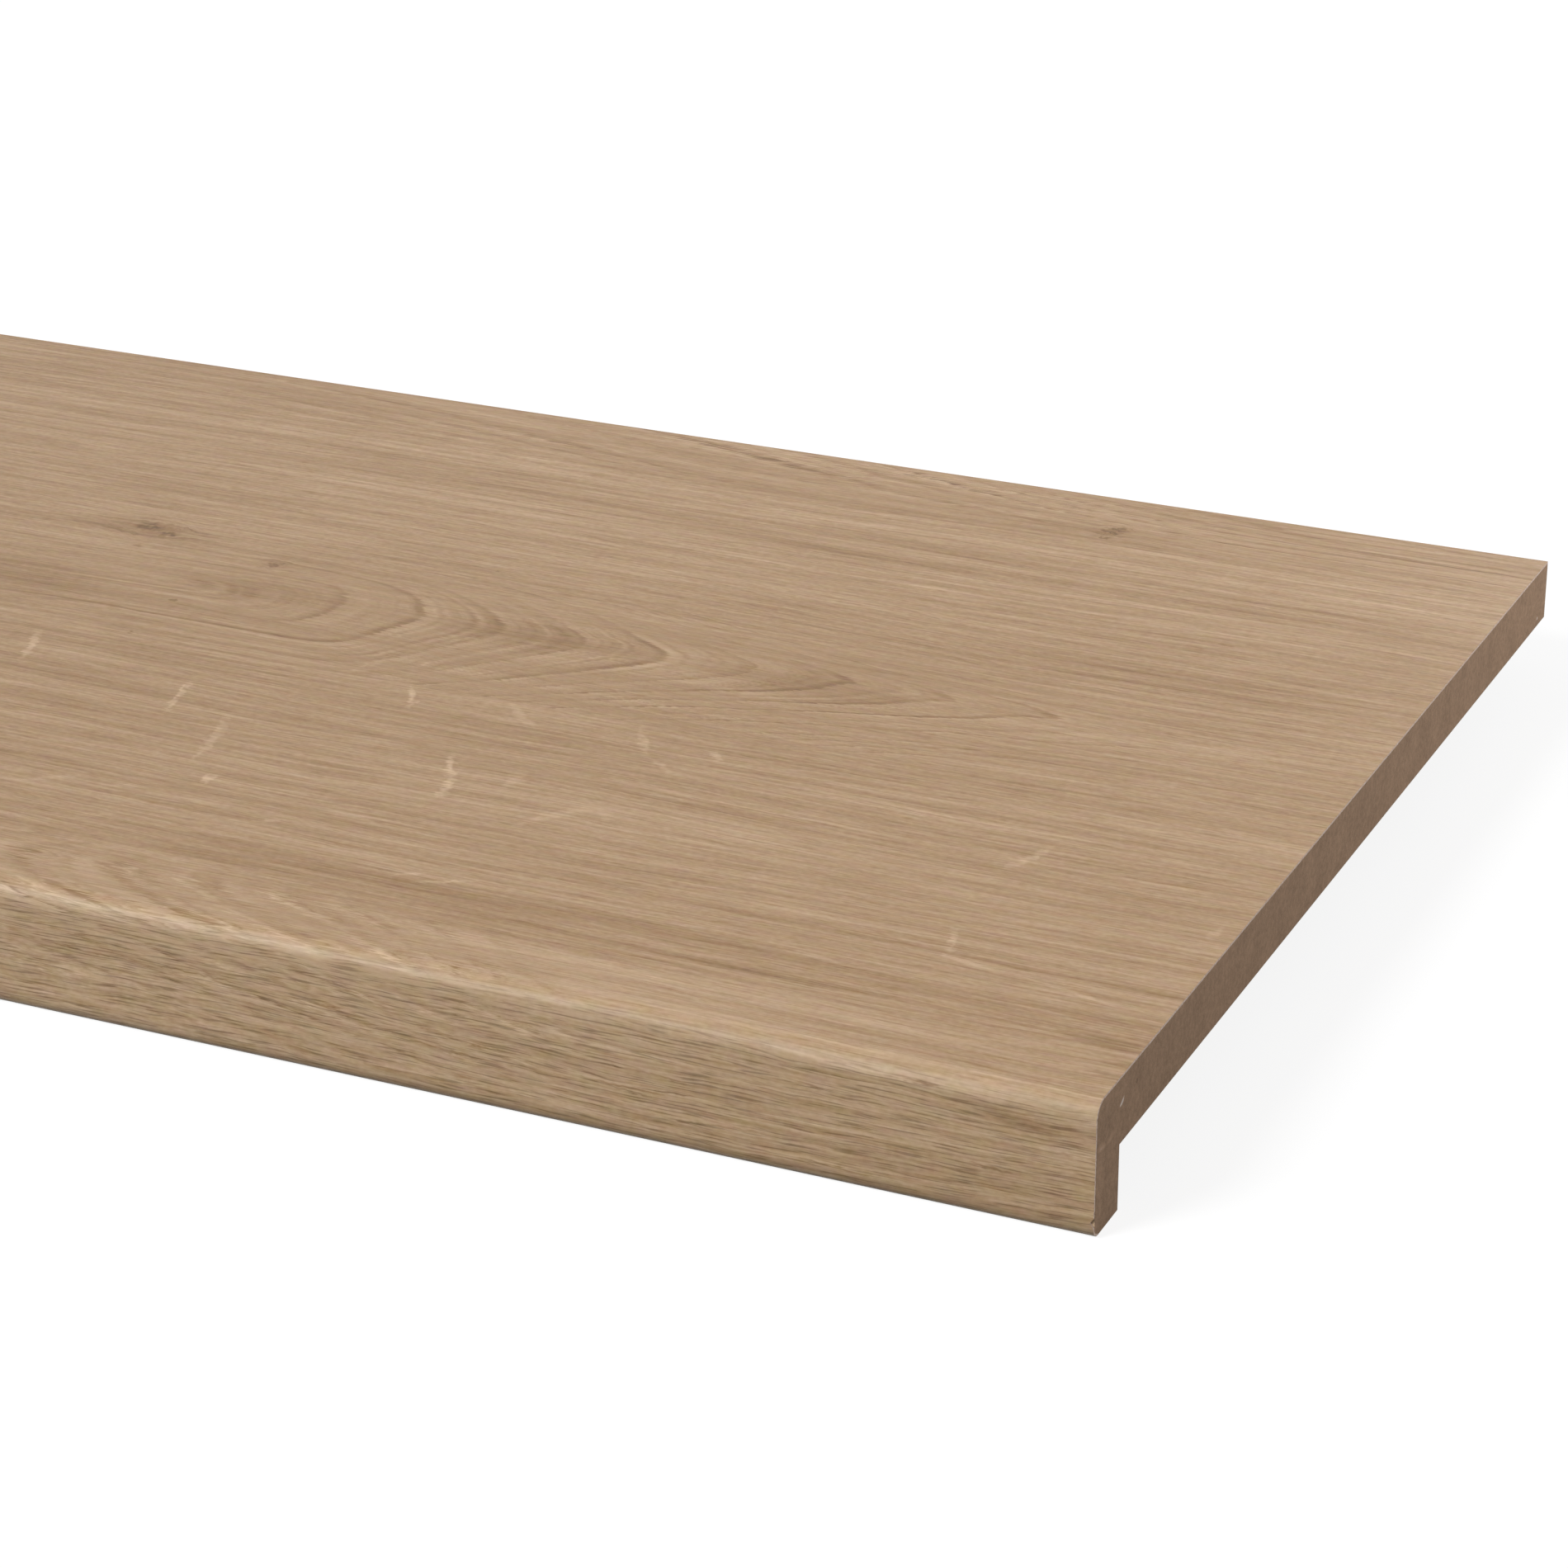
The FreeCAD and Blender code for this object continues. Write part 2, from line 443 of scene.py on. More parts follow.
def rings_after_three(tree, across, place, lines, numbers):
    """The number of the growth ring, drawn after three rings, whose numbers are given.
    Each line gives a place, and where the three are there. The rings between and beyond
    them are evenly spaced."""
    middle = read_off(tree, place, [(line[0], line[2]) for line in lines])
    before = read_off(
        tree, place, [(line[0], (numbers[1] - numbers[0]) / (line[2] - line[1])) for line in lines]
    )
    after = read_off(
        tree, place, [(line[0], (numbers[2] - numbers[1]) / (line[3] - line[2])) for line in lines]
    )
    off = add(tree, "ShaderNodeMath", {0: across, 1: middle}, operation="SUBTRACT")
    less = add(tree, "ShaderNodeMath", {0: off, 1: 0}, operation="MINIMUM")
    more = add(tree, "ShaderNodeMath", {0: off, 1: 0}, operation="MAXIMUM")
    ring = add(tree, "ShaderNodeMath", {0: less, 1: before, 2: numbers[1]}, operation="MULTIPLY_ADD")
    return add(tree, "ShaderNodeMath", {0: more, 1: after, 2: ring}, operation="MULTIPLY_ADD")


def front_rings(tree, x, y):
    """Flat-sawn. The arches' points are to the left, and their arms run down over the
    bend and flatten out to the right. Left and right of them the rings are straight."""
    ring = rings_after_three(
        tree, x, y,
        (
            (26.5, -300, -241, -194), (20, -313, -237, -178), (15, -316, -232, -171),
            (10, -316, -218, -167), (5, -310, -206, -162), (1, -300, -198, -157),
            (-3, -285, -190, -149), (-8, -262, -178, -135), (-15, -235, -155, -100),
            (-20, -215, -130, -60), (-25, -190, -100, -10), (-32, -150, -60, 60),
            (-42, -110, -10, 120),
        ),
        (-6, -3, 0),
    )
    left = read_off(
        tree, y,
        ((26.5, -8.5), (14, -6.7), (5, -7.7), (-3, -9), (-8, -10), (-15, -11.5), (-25, -13.5), (-42, -17)),
    )
    right = read_off(
        tree, y,
        ((26.5, 0.97), (12, 0.9), (0, 0.78), (-4, 0.6), (-8, -0.2), (-15, -2), (-25, -4.4), (-42, -8)),
    )
    ring = add(tree, "ShaderNodeMath", {0: ring, 1: left, 2: 0.8}, operation="SMOOTH_MAX")
    return add(tree, "ShaderNodeMath", {0: ring, 1: right, 2: 0.5}, operation="SMOOTH_MIN")


def quarter_sawn_rings(tree, x, y):
    """Quarter-sawn: straight rings, 5 mm apart."""
    slope = add(tree, "ShaderNodeMath", {0: x, 1: 0.012, 2: y}, operation="MULTIPLY_ADD")
    return add(tree, "ShaderNodeMath", {0: slope, 1: 1 / 5}, operation="MULTIPLY")


arched_ring_start = 16


def arched_rings(tree, x, y):
    """Flat-sawn. The arches' points are to the right. Their lower arms fall steeply to
    the joint and the upper ones gently, and left of them the rings are straight. A ring's
    number also settles how strong it is, and these start where the right ones are."""
    ring = rings_after_three(
        tree, x, y,
        (
            (160.4, -322, -274, -242), (170, -313, -261, -226), (180, -309, -248, -205),
            (190, -306, -235, -178), (200, -301, -223, -149), (206, -299, -217, -139),
            (211, -300, -218, -132), (215.5, -303, -226, -127.5), (222, -310, -237, -150),
            (227, -318, -245, -178), (234, -334, -259, -201), (240, -360, -279, -225),
            (248, -400, -316, -262), (254, -450, -357, -300), (262, -530, -426, -360),
            (275, -660, -541, -460), (294.3, -880, -745, -640),
        ),
        (6, 3, 0),
    )
    straight = read_off(
        tree, y,
        (
            (160.4, 4.7), (164, 5), (177, 6), (186, 7), (193.6, 8), (203, 8.6), (212, 8), (222, 7),
            (232, 6), (240, 5), (247, 4), (253, 3), (258, 2), (262, 1), (266, 0), (272, -1),
            (278, -2), (294.3, -5),
        ),
    )
    right = read_off(
        tree, y,
        (
            (160.4, -11), (175, -8), (190, -5.6), (206, -3), (215, -2), (224, -3.4), (234, -5), (245, -7),
            (255, -9.5), (265, -11), (280, -13), (294.3, -15),
        ),
    )
    ring = add(tree, "ShaderNodeMath", {0: ring, 1: right, 2: 1}, operation="SMOOTH_MAX")
    ring = add(tree, "ShaderNodeMath", {0: ring, 1: straight, 2: 1.6}, operation="SMOOTH_MIN")
    return add(tree, "ShaderNodeMath", {0: ring, 1: arched_ring_start}, operation="ADD")


def rear_rings(tree, x, y):
    """Half way between the two cuts. The rings are straight, fan out to the left of the
    large knot and close up under it. Ring 0 runs along the joint, and the fans give a
    place, the height of ring 11 there, and how far apart the rings behind it are."""
    fans = (
        (-780, 390, 9), (-575, 398, 16), (-479, 395, 17), (-440, 388, 16), (-390, 380, 15.5),
        (-350, 372, 14.5), (-300, 363, 13), (-260, 356.5, 12), (-220, 353, 9.5), (-190, 350.5, 8),
        (-165, 350, 6.5), (-134, 349, 5.5), (-60, 349, 4.5), (0, 349, 4.5),
    )
    lines = [(place, 294, height, height + 3 * gap) for place, height, gap in fans]
    return rings_after_three(tree, y, x, lines, (0, 11, 14))


# Strokes of the front stave: a wide pale band, its dark rear joint, stains at the end,
# and on the nose long pores, which the bend has opened. These strokes and those of the
# next lists come back mirrored past the photograph's left edge, as the rings do
front_lines = (
    (10, 9, (-215, 13), (-20, 13), 0),
    (-14, 0.9, (-135, 25.8), (-62, 26), 0),
    (-12, 1.2, (-62, 26.3), (-26, 26.6), 0),
    (-26, 2.2, (-22, 26), (8, 25), 0),
    (-22, 2.8, (-6, 17.5), (8, 17), 0),
    (-24, 1.8, (-9, 11), (8, 10.5), 0),
    (12, 0.9, (-8, 4.6), (6, 4.8), 0),
    (-9, 0.6, (-40, 14.5), (-16, 14), 0),
    (-32, 0.4, (-124, -24.6), (-102, -23.2), 0.3),
    (-34, 0.5, (-50, -6.2), (-40, -6.6), 0),
    (-20, 2.6, (-34, -9.5), (-6, -14), 0.5),
    (-26, 0.5, (-81, -12.7), (-69, -14), 0),
    (-24, 0.45, (-12, -18), (3, -17.3), 0),
    (-26, 0.5, (-31, -25.2), (-20, -26), 0),
    (-26, 0.55, (-74, -33.7), (-60, -35.4), 0),
    (-22, 0.4, (-131, -19), (-104, -20), 0),
    (-26, 0.4, (-263, -17.8), (-237, -18.3), 0),
    (-22, 0.4, (-303, -16.5), (-268, -18.5), -0.5),
    (-24, 0.45, (-187, -24), (-158, -25.6), -0.3),
    (-22, 0.4, (-142, -24.5), (-112, -25), 0.2),
    (-22, 0.4, (-222, -19), (-196, -20.5), 0),
    (-20, 0.4, (-120, -32), (-84, -29), 0),
    (-22, 0.4, (-128, -25), (-116, -26.5), 0),
)

# The quarter-sawn stave: four soft bands, then ray flecks, which cross its grain as
# short pale lines, and its dark front joint
ray_flecks = (
    (6, 5, (-350, 127), (-170, 127), 0),
    (9, 5, (-370, 70), (-130, 69), 0),
    (4, 12, (-340, 85), (-100, 105), 0),
    (-6, 6, (-330, 40), (-60, 37), 0),
    (27, 1.4, (-276.5, 160), (-267, 142), 0.8),
    (13, 2.1, (-242, 160), (-226, 145), -2),
    (17, 1.6, (-202, 159), (-189, 137), 1),
    (14, 1.6, (-190, 140), (-176, 129), 1),
    (24, 1.7, (-176, 151), (-169, 144), 1),
    (27, 1.4, (-336.5, 138), (-330, 111), -0.6),
    (24, 1.7, (-401, 154), (-391, 127), 1),
    (18, 2.0, (-314, 119), (-305, 82), 2),
    (28, 1.8, (-241, 120), (-231, 103), -1),
    (24, 1.7, (-234, 106), (-230, 89), 1.5),
    (10, 2.3, (-216, 118), (-216, 102), 0),
    (13, 2.8, (-184, 103), (-202, 81), -2),
    (10, 2.1, (-185, 102), (-179, 94), 1),
    (17, 1.8, (-63, 131), (-71, 109), 1),
    (17, 1.7, (0, 131), (-1, 111), 3),
    (13, 1.8, (-5, 102), (-6, 91), 0),
    (17, 1.5, (-69.5, 73), (-64, 54), 1.5),
    (17, 1.5, (-68, 57), (-42, 51.5), -1),
    (18, 1.1, (-45, 52), (-12, 45), 0.8),
    (18, 1.1, (-103, 42), (-86, 40.5), 0.6),
    (-16, 1.2, (-134, 27.3), (-60, 27.3), 0),
    (-24, 2.2, (-24, 27.6), (8, 27), 0),
    (-14, 1.0, (-60, 27.6), (-26, 27.6), 0),
    (24, 1.6, (-294, 80), (-294, 71), 0),
    (11, 1.7, (-326, 65), (-345, 52), 0.5),
    (11, 1.7, (-306, 65), (-321, 59), 0),
    (14, 1.6, (-256, 70), (-234, 68), 1),
    (10, 1.7, (-302, 46), (-316, 39), 0),
    (20, 1.1, (-208, 46), (-217, 40.5), 0),
    (22, 1.1, (-193, 47.5), (-210, 39), 0.5),
    (15, 1.4, (-261, 60), (-268, 55.5), 0),
)

# The arched stave: soft dark and pale bands, then pale streaks, dark pore lines and
# small dark specks
arch_lines = (
    (-13, 15, (-203, 207), (-132, 204), 0),
    (-14, 13, (-296, 208), (-220, 208), 0),
    (-10, 9, (-390, 209), (-316, 208), 0),
    (-8, 17, (-480, 192), (-392, 188), 0),
    (-11, 7, (-452, 241), (-384, 242), 0),
    (-6, 9, (-190, 252), (20, 256), 0),
    (-6, 5, (-60, 273), (30, 272), 0),
    (6, 12, (-125, 205), (30, 214), 0),
    (9, 7, (-330, 231), (-100, 236), 2),
    (5, 8, (-225, 214), (-205, 196), 0),
    (-5, 4, (-440, 163), (-340, 163), 0),
    (18, 1.5, (-271, 206), (-286, 187), -1),
    (14, 1.4, (-284, 191), (-298, 160), -1),
    (10, 1.2, (-402, 193.5), (-346, 193), 0.5),
    (-14, 1.3, (-430, 171), (-375, 181), 2),
    (-12, 1.3, (-390, 181), (-336, 176.5), 1),
    (-12, 1.5, (-275, 259), (-160, 248), 0),
    (-12, 1.3, (-170, 249), (0, 252), -3),
    (9, 1.0, (-75, 182), (10, 184), 0),
    (7, 1.0, (-130, 191.5), (-25, 194), 1),
    (-34, 1.3, (-377, 190.4), (-375, 190.4), 0),
    (-28, 1.4, (-375.5, 162), (-372.5, 162), 0),
    (-22, 1.3, (-414, 226.5), (-409, 226.5), 0),
    (-26, 1.2, (-297.5, 253), (-296, 253), 0),
)

# The rear stave: soft bands, then pale streaks and dark lines, most at its rear edge
rear_lines = (
    (9, 7, (-300, 326), (-100, 319), 0),
    (8, 5, (-380, 338), (-170, 336), 0),
    (-10, 5, (-170, 364.5), (-112, 362.5), 0),
    (8, 6, (-280, 366), (-175, 364), 0),
    (7, 6, (-180, 376), (-60, 370), 0),
    (9, 1.5, (-215, 312), (-120, 307), -1),
    (7, 1.4, (-130, 307.5), (10, 312.5), -1.5),
    (8, 1.4, (-335, 297), (-195, 297), 1),
    (10, 1.4, (-205, 297.5), (-120, 291.5), 0),
    (8, 1.4, (-140, 291.5), (10, 295.3), 1),
    (-20, 1.5, (-160, 394), (-95, 381.5), -1.2),
    (-24, 1.5, (-112, 383), (20, 376.5), -1.2),
    (-20, 1.3, (-125, 396), (-50, 381.5), -1),
    (-16, 1.2, (-62, 382), (20, 381.5), 0),
    (-17, 1.2, (-62, 395), (20, 388.5), -1),
    (-16, 1.2, (-222, 328), (-120, 321.8), -0.7),
    (-13, 1.0, (-125, 322), (15, 328), -1),
    (-16, 0.9, (-60, 347), (-12, 346.5), 0),
    (-13, 0.8, (-110, 343), (-40, 340), 0),
)


# A ring's shade, from its start, at 0, to the next ring, at 1
ring_shades = (
    (0, 0), (0.04, -0.9), (0.12, -0.5), (0.25, -0.1), (0.5, 0.08), (0.75, 0.2), (0.93, 0.42), (1, 0),
)

# How clear the rings are away from the arches, against about 1 at the arches
rings_elsewhere = 0.35

# Widths of two kinds of streak, in millimetres, that the rings follow: patches, in which
# they are clear or faint, and fibres, which feather their outlines
patch_width = 8
fibre_width = 0.6

# How far pores and knots darken the print, in steps of 1/255
pore_steps = -11
knot_steps = -38
pore_depth = 0.05 * mm

# The print's colours by their tone, in steps of 1/255 from the commonest one
darkest = -90
palest = 40
darkest_colour = "#432A18"
palest_colour = "#D6B897"
tone_colours = ((-45, "#7E6041"), (-20, "#997957"), (0, "#AE8F6E"), (20, "#C1A384"))

# Changes of hue in linear light: how far the inks stray, and a painted sheen, which makes
# the nose cooler than the top. The bend is paler with a painted highlight, most so at
# a place given in millimetres on the flat print
ink_spread = (0.04, 0.045, 0.045)
painted_nose_sheen_hue = (-0.022, 0, 0.008)
painted_bend_highlight_hue = (0.013, 0.018, 0.019)
painted_highlight_place = -5.5
painted_highlight_reach = 4.5


def oak_stave(
    name, rings, *, repeat, layers, lift, streak_share, ring_steps, feather, pore_size, strokes,
    arches=(), knots=(),
):
    """Postforming laminate with a matt oak print and fine embossed pores. The paper's
    print gives the grain, and the press plate gives the pores their relief. The rings
    come back mirrored after the millimetres given as repeat. Layers are two places in
    the noise, so that no two staves are alike. Lift and ring steps change the tone, in
    steps of 1/255, and streak share is how strong the wide streaks are. Feather and pore
    size are in millimetres. The arches are strokes, along which the rings are clear."""
    material = bpy.data.materials.new(name)
    material.use_nodes = True
    tree = material.node_tree
    tree.nodes.clear()

    # From the sheet's own map to millimetres on the flat print
    sheet = add(tree, "ShaderNodeUVMap", uv_map="OFBake")
    scale = sheet_width_in_mm / print_band
    start = (-board_length_in_mm, -below_bend_in_mm - (1 - print_band) * scale, 0)
    flat = add(
        tree, "ShaderNodeVectorMath", {0: sheet, 1: (board_length_in_mm, scale, 0), 2: start},
        operation="MULTIPLY_ADD",
    )
    apart = add(tree, "ShaderNodeSeparateXYZ", {0: flat})
    x = apart.outputs["X"]
    y = apart.outputs["Y"]
    on_nose = add(tree, "ShaderNodeMapRange", {0: y, 1: -8, 2: -3, 3: 1, 4: 0})
    # Where the painted sheen goes: the nose and the bend
    painted_sheen_mask = add(tree, "ShaderNodeMapRange", {0: y, 1: -4, 2: 1, 3: 1, 4: 0})
    # A painted highlight along the bend, a soft band round a place on the flat print
    away = add(tree, "ShaderNodeMath", {0: y, 1: -painted_highlight_place}, operation="ADD")
    away = add(tree, "ShaderNodeMath", {0: away}, operation="ABSOLUTE")
    painted_bend_highlight = add(
        tree, "ShaderNodeMapRange", {0: away, 1: 0, 2: painted_highlight_reach, 3: 1, 4: 0},
        interpolation_type="SMOOTHSTEP",
    )

    # Knots and single strokes are frayed by noise about 3 mm across. The grain bends
    # round the knots, and wanders in waves: their length, their width and their height
    rough = add(
        tree, "ShaderNodeTexNoise", {"Vector": flat, "Scale": 0.35, "Detail": 1}, noise_dimensions="2D"
    )
    rough = add(
        tree, "ShaderNodeVectorMath", {0: rough.outputs["Color"], 1: (0.5, 0.5, 0.5)},
        operation="SUBTRACT",
    )
    fray = add(tree, "ShaderNodeVectorMath", {0: rough, 1: (4, 4, 0)}, operation="MULTIPLY")
    bent = flat
    for along_board, across_board, knot_radius in knots:
        to_centre = (-along_board, -across_board, 0)
        bent = add(
            tree, "ShaderNodeGroup", {0: bent, 1: to_centre, 2: fray, 3: 1 / knot_radius},
            node_tree=knot_tree,
        )
    bent = add(tree, "ShaderNodeSeparateXYZ", {0: bent})
    grain_y = bent.outputs["Y"]
    for length, width, reach in ((220, 50, 7), (50, 9, 1.6), (16, 4, 0.7)):
        scaled = add(
            tree, "ShaderNodeVectorMath",
            {0: flat, 1: (1 / length, 1 / width, 0), 2: (layers[0], 0, 0)}, operation="MULTIPLY_ADD",
        )
        wander = add(
            tree, "ShaderNodeTexNoise", {"Vector": scaled, "Scale": 1, "Detail": 1}, noise_dimensions="2D"
        )
        wander = add(tree, "ShaderNodeMath", {0: wander, 1: 0.5}, operation="SUBTRACT")
        grain_y = add(
            tree, "ShaderNodeMath", {0: wander, 1: reach, 2: grain_y}, operation="MULTIPLY_ADD"
        )
    grain = add(tree, "ShaderNodeCombineXYZ", {0: x, 1: grain_y})

    # Streaks: length along the grain, width across it, both in millimetres, and how far
    # they change the tone, in steps of 1/255. The finest ones are wider than in oak,
    # because real ones are too fine to show.
    tone = 0
    streaks = {}
    for length, width, steps in (
        (450, 26, 17 * streak_share), (280, patch_width, 20 * streak_share),
        (120, 3.2, 24 * streak_share), (55, 1.3, 28), (24, fibre_width, 31), (2.2, 1.1, 20),
    ):
        scaled = add(
            tree, "ShaderNodeVectorMath",
            {0: grain, 1: (1 / length, 1 / width, 0), 2: (layers[1], layers[1], 0)},
            operation="MULTIPLY_ADD",
        )
        streak = add(
            tree, "ShaderNodeTexNoise", {"Vector": scaled, "Scale": 1, "Detail": 1}, noise_dimensions="2D"
        )
        streak = add(tree, "ShaderNodeMath", {0: streak, 1: 0.5}, operation="SUBTRACT")
        tone = add(tree, "ShaderNodeMath", {0: streak, 1: steps, 2: tone}, operation="MULTIPLY_ADD")
        streaks[width] = streak

    # Growth rings. Each starts with a thin dark line of pores and grows paler, with
    # finer lines in it, which are liveliest on the nose. No two rings are alike. Past the
    # photograph's left edge the rings come back mirrored, and mirrored again
    ring_x = add(
        tree, "ShaderNodeMath", {0: streaks[fibre_width], 1: feather, 2: x}, operation="MULTIPLY_ADD"
    )
    ring_x = add(tree, "ShaderNodeMath", {0: ring_x, 1: repeat}, operation="PINGPONG")
    ring_x = add(tree, "ShaderNodeMath", {0: ring_x, 1: -1}, operation="MULTIPLY")
    ring = rings(tree, ring_x, grain_y)
    whole = add(tree, "ShaderNodeMath", {0: ring}, operation="FLOOR")
    part = add(tree, "ShaderNodeMath", {0: ring}, operation="FRACT")
    shade = read_off(tree, part, ring_shades)
    lot = add(tree, "ShaderNodeTexWhiteNoise", {"W": whole}, noise_dimensions="1D")
    strength = add(tree, "ShaderNodeMapRange", {0: lot.outputs["Value"], 1: 0, 2: 1, 3: 0.5, 4: 1})
    lines = add(
        tree, "ShaderNodeTexNoise", {"W": ring, "Scale": 6, "Detail": 2, "Roughness": 0.7},
        noise_dimensions="1D",
    )
    lines = add(tree, "ShaderNodeMath", {0: lines, 1: 0.5}, operation="SUBTRACT")
    liveliness = add(tree, "ShaderNodeMath", {0: on_nose, 1: 0.3, 2: 1.9}, operation="MULTIPLY_ADD")
    lines = add(tree, "ShaderNodeMath", {0: lines, 1: liveliness}, operation="MULTIPLY")
    shade = add(tree, "ShaderNodeMath", {0: shade, 1: strength, 2: lines}, operation="MULTIPLY_ADD")

    # The rings are clearest at the arches, where the streaks are quieter
    among_rings = add(tree, "ShaderNodeCombineXYZ", {0: ring_x, 1: grain_y, 2: 1})
    clear = draw_strokes(tree, among_rings, rings_elsewhere, arches)
    quiet = add(tree, "ShaderNodeMapRange", {0: clear, 1: rings_elsewhere, 2: 1, 3: 1, 4: 0.55})
    tone = add(tree, "ShaderNodeMath", {0: tone, 1: quiet, 2: lift}, operation="MULTIPLY_ADD")
    patches = add(
        tree, "ShaderNodeMath", {0: streaks[patch_width], 1: 2.5, 2: 0.9}, operation="MULTIPLY_ADD"
    )
    clear = add(tree, "ShaderNodeMath", {0: clear, 1: patches}, operation="MULTIPLY")
    shade = add(tree, "ShaderNodeMath", {0: shade, 1: clear}, operation="MULTIPLY")
    tone = add(tree, "ShaderNodeMath", {0: shade, 1: ring_steps, 2: tone}, operation="MULTIPLY_ADD")

    # Single strokes, then pores: dark dashes, with painted shade in them on the nose, where
    # light grazes the embossed pores. The lower bend, which faces down, gets painted shade
    loose = add(tree, "ShaderNodeCombineXYZ", {0: ring_x, 1: y, 2: 1})
    loose = add(
        tree, "ShaderNodeVectorMath", {0: rough, 1: (4, 1, 0), 2: loose}, operation="MULTIPLY_ADD"
    )
    tone = draw_strokes(tree, loose, tone, strokes)
    scaled = add(
        tree, "ShaderNodeVectorMath", {0: grain, 1: (1 / pore_size[0], 1 / pore_size[1], 0)},
        operation="MULTIPLY",
    )
    pore = add(
        tree, "ShaderNodeTexNoise", {"Vector": scaled, "Scale": 1, "Detail": 1}, noise_dimensions="2D"
    )
    pore = add(tree, "ShaderNodeMapRange", {0: pore, 1: 0.55, 2: 0.7, 3: 0, 4: 1})
    tone = add(tree, "ShaderNodeMath", {0: pore, 1: pore_steps, 2: tone}, operation="MULTIPLY_ADD")
    # Painted shade in the nose's pores, where light grazes them
    painted_nose_pore_shade = add(tree, "ShaderNodeMath", {0: pore, 1: on_nose}, operation="MULTIPLY")
    painted_pore_and_underside_shade = add(tree, "ShaderNodeMath", {0: painted_nose_pore_shade, 1: -0.27, 2: 1}, operation="MULTIPLY_ADD")
    # Painted shade on the lower bend, which faces down
    painted_underside_shade = add(tree, "ShaderNodeMapRange", {0: y, 1: -39, 2: -34, 3: 0.55, 4: 1})
    painted_pore_and_underside_shade = add(tree, "ShaderNodeMath", {0: painted_pore_and_underside_shade, 1: painted_underside_shade}, operation="MULTIPLY")
    knot_dark = bent.outputs["Z"]
    tone = add(
        tree, "ShaderNodeMath", {0: knot_dark, 1: knot_steps, 2: tone}, operation="MULTIPLY_ADD"
    )

    # From the tone to the print's colour
    span = palest - darkest
    share = add(
        tree, "ShaderNodeMath", {0: tone, 1: 1 / span, 2: -darkest / span}, operation="MULTIPLY_ADD"
    )
    colour = add(tree, "ShaderNodeValToRGB", {0: share})
    stops = colour.color_ramp.elements
    stops[0].position = 0
    stops[0].color = linear(darkest_colour)
    stops[1].position = 1
    stops[1].color = linear(palest_colour)
    for steps, hex_colour in tone_colours:
        stops.new((steps - darkest) / span).color = linear(hex_colour)

    # The inks don't cover evenly, so the hue strays a little, to pink or to olive, in
    # patches of about 7 by 3 mm
    scaled = add(
        tree, "ShaderNodeVectorMath", {0: flat, 1: (1 / 7, 1 / 3, 0), 2: (layers[0], 0, 0)},
        operation="MULTIPLY_ADD",
    )
    inks = add(
        tree, "ShaderNodeTexNoise", {"Vector": scaled, "Scale": 1, "Detail": 3}, noise_dimensions="2D"
    )
    even = [-spread / 2 for spread in ink_spread]
    inks = add(
        tree, "ShaderNodeVectorMath", {0: inks.outputs["Color"], 1: ink_spread, 2: even},
        operation="MULTIPLY_ADD",
    )
    inked = add(tree, "ShaderNodeVectorMath", {0: colour.outputs[0], 1: inks}, operation="ADD")
    # The painted sheen on the nose and bend, then the painted highlight along the bend
    for hue, where in ((painted_nose_sheen_hue, painted_sheen_mask), (painted_bend_highlight_hue, painted_bend_highlight)):
        inked = add(
            tree, "ShaderNodeVectorMath", {0: hue, 1: where, 2: inked}, operation="MULTIPLY_ADD"
        )
    # The painted shade in the nose's pores and on the lower bend darkens the colour
    inked = add(tree, "ShaderNodeVectorMath", {0: inked, "Scale": painted_pore_and_underside_shade}, operation="SCALE")
    relief = add(
        tree, "ShaderNodeBump", {"Height": pore, "Strength": 0.25, "Distance": pore_depth}, invert=True
    )
    surface = add(
        tree, "ShaderNodeBsdfPrincipled",
        {"Base Color": inked, "Roughness": 0.38, "Specular IOR Level": 0.1, "Normal": relief},
    )
    add(tree, "ShaderNodeOutputMaterial", {"Surface": surface})
    return material


# The print shows four staves, as glued oak does, with sharp joints between them. They
# are about 134 mm wide, and the outer two are trimmed. Each has its own rings, knots and
# strokes. From front to rear: where it ends, and its look. A knot is a place along the
# board, one across it and a radius, and the last ones are past the photograph's left edge
front_joint = 26.5
middle_joint = 160.4
rear_joint = 294.3
arch_knots = ((-418, 243, 2.4), (-408.5, 240.5, 1.3), (-363.8, 229.6, 1.2), (-1212, 228, 2.6))
rear_knots = (
    (-132.3, 367.3, 1.1), (-133.4, 364.5, 1.0), (-136.4, 364, 0.8), (-135, 358.8, 0.8), (-887, 351, 2.0),
    (-1640, 331, 1.6),
)
staves = (
    (
        front_joint,
        oak_stave(
            "oak_print_front_stave", front_rings, repeat=700, layers=(9.3, 16.6), lift=6,
            streak_share=0.8, ring_steps=28, feather=17, pore_size=(14, 0.5), strokes=front_lines,
            arches=((0.65, 34, (-430, 12), (-90, -14), 0),),
        ),
    ),
    (
        middle_joint,
        oak_stave(
            "oak_print_quarter_sawn_stave", quarter_sawn_rings, repeat=690, layers=(5.1, 16.6),
            lift=1, streak_share=1.1, ring_steps=12, feather=2, pore_size=(8, 0.45),
            strokes=ray_flecks,
        ),
    ),
    (
        rear_joint,
        oak_stave(
            "oak_print_arched_stave", arched_rings, repeat=640, layers=(0, 12.2), lift=0,
            streak_share=0.8, ring_steps=20, feather=4, pore_size=(8, 0.45), strokes=arch_lines,
            arches=((0.7, 54, (-460, 192), (-30, 204), 0),), knots=arch_knots,
        ),
    ),
    (
        sheet_width_in_mm,
        oak_stave(
            "oak_print_rear_stave", rear_rings, repeat=760, layers=(0, 26.3), lift=1,
            streak_share=1.15, ring_steps=24, feather=34, pore_size=(8, 0.45), strokes=rear_lines,
            arches=((0.95, 34, (-560, 396), (40, 374), 0),), knots=rear_knots,
        ),
    ),
)


